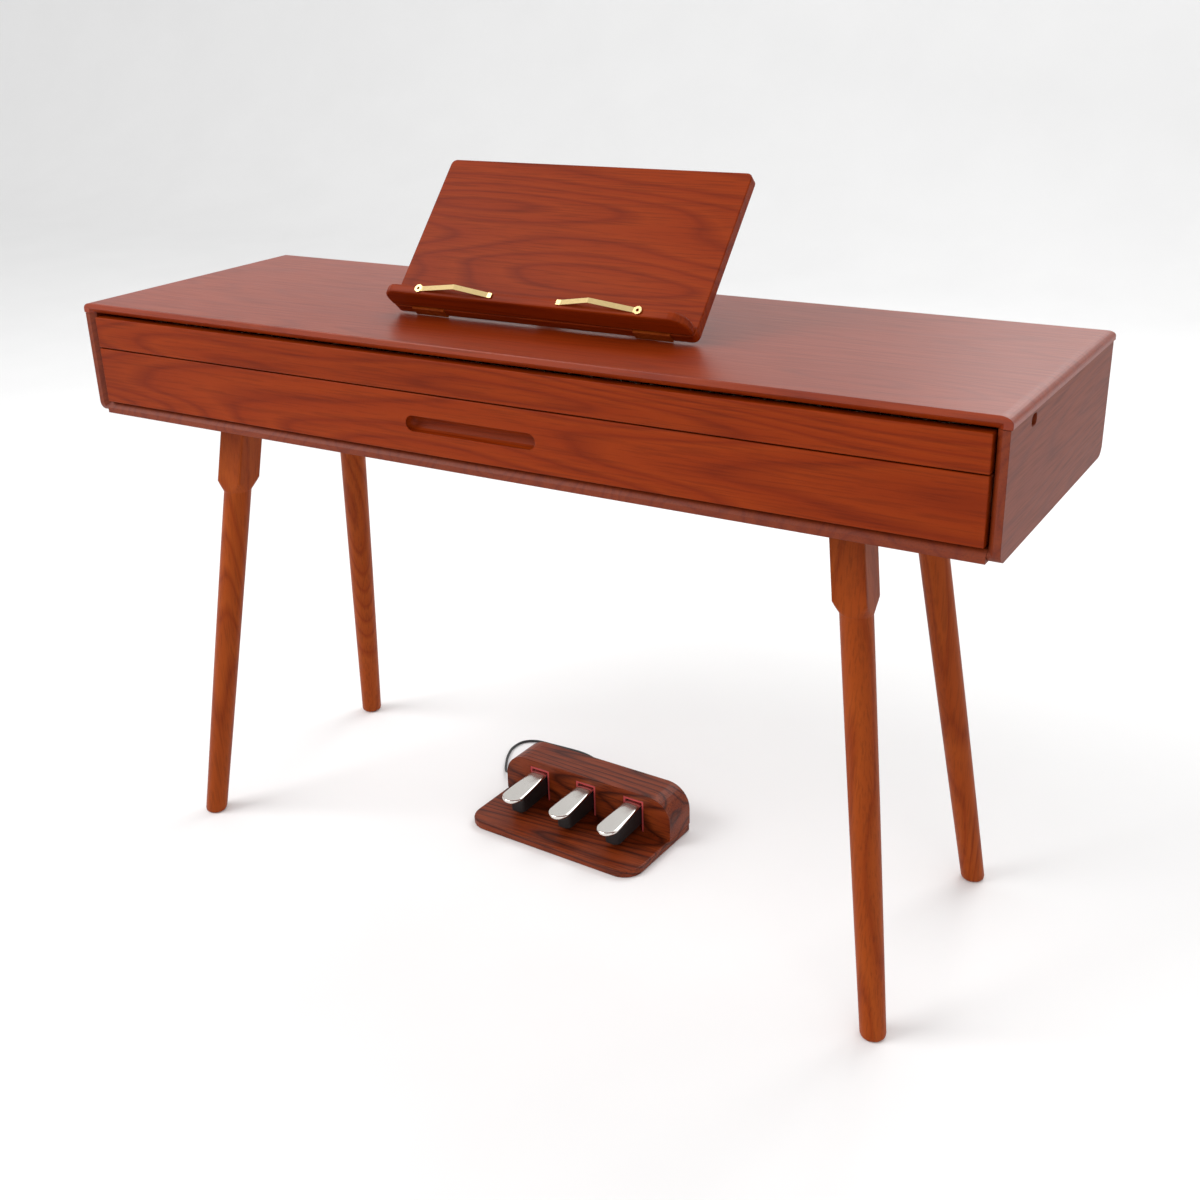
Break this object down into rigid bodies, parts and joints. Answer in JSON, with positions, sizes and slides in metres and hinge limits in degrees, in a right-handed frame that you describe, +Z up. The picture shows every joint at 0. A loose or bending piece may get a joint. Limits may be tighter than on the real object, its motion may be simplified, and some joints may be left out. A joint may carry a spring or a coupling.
{
  "type": "digital piano",
  "caption": "Desk-style digital piano: pull-out keyboard drawer with drop-down flap, splayed turned legs, folding book stand on top and a separate three-pedal floor unit.",
  "frame": {"origin": "floor level, centre of the bounding box", "axes": "+X to the player's right, +Y to the back, +Z up; the keyboard front faces -Y"},
  "size_m": [1.35, 0.4545, 1],
  "materials": {
    "cherry": "stained cherry veneer, satin lacquer",
    "leg_wood": "turned solid wood, satin lacquer",
    "dark_oak": "red-brown stained open-grain wood",
    "plywood": "plain board, unfinished",
    "runner_steel": "zinc plated",
    "nickel": "polished nickel",
    "brass": "satin brass",
    "white_key": "semi-gloss",
    "black_key": "satin",
    "black_plastic": "satin",
    "panel": "fine texture",
    "display": "clear",
    "circuit": "solder mask",
    "speaker": "matt",
    "felt": "wool felt",
    "cord": "matt"
  },
  "bodies": {
    "case": {"top_board": "cherry", "side_panel_left": "cherry", "side_panel_right": "cherry", "bottom_board": "cherry", "back_panel": "plywood", "leg_front_left": "leg_wood", "leg_front_right": "leg_wood", "leg_rear_left": "leg_wood", "leg_rear_right": "leg_wood", "runner_outer_left": "runner_steel", "runner_outer_right": "runner_steel", "headphone_jack": "nickel"},
    "slide_middles": {"runner_middle_left": "runner_steel", "runner_middle_right": "runner_steel"},
    "drawer": {"runner_inner_left": "runner_steel", "runner_inner_right": "runner_steel", "drawer_base": "plywood", "drawer_front": "cherry", "cheek_left": "cherry", "cheek_right": "cherry", "drawer_back": "plywood", "key_rail": "plywood", "control_panel": "panel", "display": "display", "main_board": "circuit", "speaker_left": "speaker", "speaker_right": "speaker"},
    "flap": {"drawer_flap": "cherry"},
    "white_zone_1": {"white_keys_1": "white_key"},
    "white_zone_2": {"white_keys_2": "white_key"},
    "white_zone_3": {"white_keys_3": "white_key"},
    "white_zone_4": {"white_keys_4": "white_key"},
    "black_zone_1": {"black_keys_1": "black_key"},
    "black_zone_2": {"black_keys_2": "black_key"},
    "black_zone_3": {"black_keys_3": "black_key"},
    "black_zone_4": {"black_keys_4": "black_key"},
    "power_button": {"power_button": "black_plastic"},
    "volume_knob": {"volume_knob": "black_plastic"},
    "function_button_1": {"function_button_1": "black_plastic"},
    "function_button_2": {"function_button_2": "black_plastic"},
    "stand": {"stand_board": "cherry", "stand_foot_left": "leg_wood", "stand_foot_right": "leg_wood", "stand_ledge": "cherry"},
    "prop": {"stand_prop": "leg_wood"},
    "clip_left": {"page_clip_left": "brass"},
    "clip_right": {"page_clip_right": "brass"},
    "pedal_unit": {"pedal_base": "dark_oak", "pedal_housing": "dark_oak", "slot_felt": "felt", "pedal_cord": "cord", "cord_coil": "cord", "cord_plug": "black_plastic"},
    "soft": {"pedal_soft": "nickel", "lever_soft": "black_plastic"},
    "middle": {"pedal_middle": "nickel", "lever_middle": "black_plastic"},
    "damper": {"pedal_damper": "nickel", "lever_damper": "black_plastic"}
  },
  "joints": [
    {"name": "drawer_slide", "type": "slide", "parent": "case", "child": "drawer", "axis": [0, -1, 0], "range_m": [0, 0.3]},
    {"name": "runner_slide", "type": "slide", "parent": "case", "child": "slide_middles", "axis": [0, -1, 0], "range_m": [0, 0.15]},
    {"name": "flap_hinge", "type": "hinge", "parent": "drawer", "child": "flap", "pos_m": [0, -0.2085, 0.75275], "axis": [1, 0, 0], "range_deg": [0, 90]},
    {"name": "white_zone_1_dip", "type": "hinge", "parent": "drawer", "child": "white_zone_1", "pos_m": [0, 0.0235, 0.759], "axis": [1, 0, 0], "range_deg": [0, 2.7], "stiffness_Nm_per_rad": 20, "springref_deg": -6.88},
    {"name": "white_zone_2_dip", "type": "hinge", "parent": "drawer", "child": "white_zone_2", "pos_m": [0, 0.0235, 0.759], "axis": [1, 0, 0], "range_deg": [0, 2.7], "stiffness_Nm_per_rad": 20, "springref_deg": -6.88},
    {"name": "white_zone_3_dip", "type": "hinge", "parent": "drawer", "child": "white_zone_3", "pos_m": [0, 0.0235, 0.759], "axis": [1, 0, 0], "range_deg": [0, 2.7], "stiffness_Nm_per_rad": 20, "springref_deg": -6.88},
    {"name": "white_zone_4_dip", "type": "hinge", "parent": "drawer", "child": "white_zone_4", "pos_m": [0, 0.0235, 0.759], "axis": [1, 0, 0], "range_deg": [0, 2.7], "stiffness_Nm_per_rad": 20, "springref_deg": -6.88},
    {"name": "black_zone_1_dip", "type": "hinge", "parent": "drawer", "child": "black_zone_1", "pos_m": [0, 0.0235, 0.759], "axis": [1, 0, 0], "range_deg": [0, 3.5], "stiffness_Nm_per_rad": 10, "springref_deg": -5.73},
    {"name": "black_zone_2_dip", "type": "hinge", "parent": "drawer", "child": "black_zone_2", "pos_m": [0, 0.0235, 0.759], "axis": [1, 0, 0], "range_deg": [0, 3.5], "stiffness_Nm_per_rad": 10, "springref_deg": -5.73},
    {"name": "black_zone_3_dip", "type": "hinge", "parent": "drawer", "child": "black_zone_3", "pos_m": [0, 0.0235, 0.759], "axis": [1, 0, 0], "range_deg": [0, 3.5], "stiffness_Nm_per_rad": 10, "springref_deg": -5.73},
    {"name": "black_zone_4_dip", "type": "hinge", "parent": "drawer", "child": "black_zone_4", "pos_m": [0, 0.0235, 0.759], "axis": [1, 0, 0], "range_deg": [0, 3.5], "stiffness_Nm_per_rad": 10, "springref_deg": -5.73},
    {"name": "power_button_press", "type": "slide", "parent": "drawer", "child": "power_button", "axis": [0, 0, -1], "range_m": [0, 0.001], "stiffness_N_per_m": 300, "springref_m": -0.001},
    {"name": "function_button_1_press", "type": "slide", "parent": "drawer", "child": "function_button_1", "axis": [0, 0, -1], "range_m": [0, 0.001], "stiffness_N_per_m": 300, "springref_m": -0.001},
    {"name": "function_button_2_press", "type": "slide", "parent": "drawer", "child": "function_button_2", "axis": [0, 0, -1], "range_m": [0, 0.001], "stiffness_N_per_m": 300, "springref_m": -0.001},
    {"name": "volume_turn", "type": "hinge", "parent": "drawer", "child": "volume_knob", "pos_m": [-0.14, 0.0615, 0.794], "axis": [0, 0, -1], "range_deg": [0, 270]},
    {"name": "stand_lift", "type": "slide", "parent": "case", "child": "stand", "axis": [0, 0, 1], "range_m": [0, 0.1]},
    {"name": "prop_fold", "type": "hinge", "parent": "stand", "child": "prop", "pos_m": [0.02, 0.07043, 0.96176], "axis": [-1, 0, 0], "range_deg": [0, 41]},
    {"name": "clip_left_swing", "type": "hinge", "parent": "stand", "child": "clip_left", "pos_m": [-0.145, -0.10237, 0.85928], "axis": [0, -0.7385, 0.6743], "range_deg": [0, 90]},
    {"name": "clip_right_swing", "type": "hinge", "parent": "stand", "child": "clip_right", "pos_m": [0.185, -0.10237, 0.85928], "axis": [0, 0.7385, -0.6743], "range_deg": [0, 90]},
    {"name": "pedal_unit_shift", "type": "slide", "parent": "case", "child": "pedal_unit", "axis": [0, -1, 0], "range_m": [0, 0.12]},
    {"name": "soft_pedal_press", "type": "hinge", "parent": "pedal_unit", "child": "soft", "pos_m": [-0.10396, 0.09678, 0.045], "axis": [0.9988, -0.0489, 0], "range_deg": [0, 4.3], "stiffness_Nm_per_rad": 30, "springref_deg": -1.72},
    {"name": "middle_pedal_press", "type": "hinge", "parent": "pedal_unit", "child": "middle", "pos_m": [-0.01507, 0.09243, 0.045], "axis": [0.9988, -0.0489, 0], "range_deg": [0, 4.3], "stiffness_Nm_per_rad": 30, "springref_deg": -1.72},
    {"name": "damper_pedal_press", "type": "hinge", "parent": "pedal_unit", "child": "damper", "pos_m": [0.07383, 0.08808, 0.045], "axis": [0.9988, -0.0489, 0], "range_deg": [0, 4.3], "stiffness_Nm_per_rad": 30, "springref_deg": -1.72}
  ],
  "couplings": [
    {"joint": "runner_slide", "follows": "drawer_slide", "ratio": 0.5}
  ]
}
